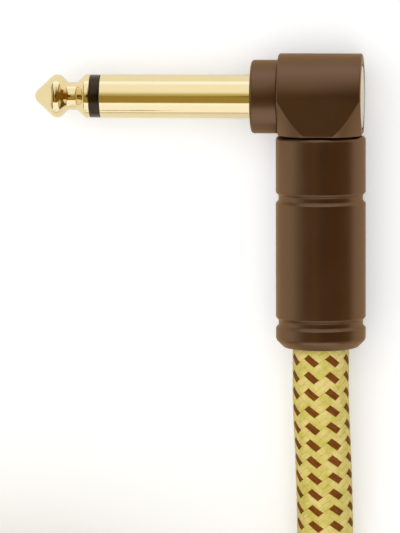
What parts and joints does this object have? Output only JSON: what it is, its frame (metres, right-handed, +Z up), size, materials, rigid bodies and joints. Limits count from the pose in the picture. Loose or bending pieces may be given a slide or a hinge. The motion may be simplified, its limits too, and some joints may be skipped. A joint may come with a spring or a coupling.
{
  "type": "instrument cable",
  "caption": "Instrument cable: gold right-angle phone plug with brown screw-on barrel, tweed-covered cable in a coil, straight plug on its far end.",
  "frame": {"origin": "on the table, under the middle of the right-angle plug's box", "axes": "+Z up from the table; the right-angle plug's pin points along -X and its barrel and cable along -Y"},
  "size_m": [0.1208, 0.1884, 0.048],
  "materials": {
    "gold_plate": "polished gold plate",
    "bare_brass": "bare stamped brass",
    "brown_satin": "satin brown",
    "insulator_plastic": "dark brown insulator",
    "black_plastic": "black plastic",
    "core_plastic": "off-white insulation",
    "copper_wire": "bare copper",
    "tweed_cover": "woven tweed, yellow with brown tracers"
  },
  "bodies": {
    "cable_and_heads": {"angle_tip_contact": "gold_plate", "angle_tip_insulator": "insulator_plastic", "angle_sleeve_contact": "gold_plate", "angle_front_collar": "brown_satin", "angle_insulating_washer": "insulator_plastic", "angle_head_housing": "brown_satin", "angle_rear_cap": "gold_plate", "angle_ground_terminal": "bare_brass", "angle_tip_terminal": "bare_brass", "angle_liner": "black_plastic", "angle_jacket_end": "black_plastic", "angle_shield_end": "copper_wire", "angle_core_insulation": "core_plastic", "angle_core_wire": "copper_wire", "angle_shield_pigtail": "copper_wire", "straight_tip_contact": "gold_plate", "straight_tip_insulator": "insulator_plastic", "straight_sleeve_contact": "gold_plate", "straight_front_collar": "brown_satin", "straight_insulating_washer": "insulator_plastic", "straight_body": "brown_satin", "straight_ground_terminal": "bare_brass", "straight_tip_terminal": "bare_brass", "straight_liner": "black_plastic", "straight_jacket_end": "black_plastic", "straight_shield_end": "copper_wire", "straight_core_insulation": "core_plastic", "straight_core_wire": "copper_wire", "straight_shield_pigtail": "copper_wire", "cable_lead": "tweed_cover", "cable_coil": "tweed_cover", "cable_tail": "tweed_cover"},
    "angle_chuck": {"angle_cable_chuck": "black_plastic"},
    "angle_barrel": {"angle_barrel": "brown_satin"},
    "straight_chuck": {"straight_cable_chuck": "black_plastic"},
    "straight_barrel": {"straight_barrel": "brown_satin"}
  },
  "joints": [
    {"name": "angle_barrel_travel", "type": "slide", "parent": "cable_and_heads", "child": "angle_chuck", "axis": [0, -1, 0], "range_m": [0, 0.00701]},
    {"name": "angle_barrel_turn", "type": "hinge", "parent": "angle_chuck", "child": "angle_barrel", "pos_m": [0.01777, 0.01515, 0.00655], "axis": [0, -1, 0], "range_deg": [0, 2520]},
    {"name": "straight_barrel_travel", "type": "slide", "parent": "cable_and_heads", "child": "straight_chuck", "axis": [1, 0, 0], "range_m": [0, 0.00701]},
    {"name": "straight_barrel_turn", "type": "hinge", "parent": "straight_chuck", "child": "straight_barrel", "pos_m": [-0.06513, -0.15065, 0.04145], "axis": [1, 0, 0], "range_deg": [0, 2520]}
  ],
  "couplings": [
    {"joint": "angle_barrel_travel", "follows": "angle_barrel_turn", "m_per_rad": 0.00015915},
    {"joint": "straight_barrel_travel", "follows": "straight_barrel_turn", "m_per_rad": 0.00015915}
  ]
}
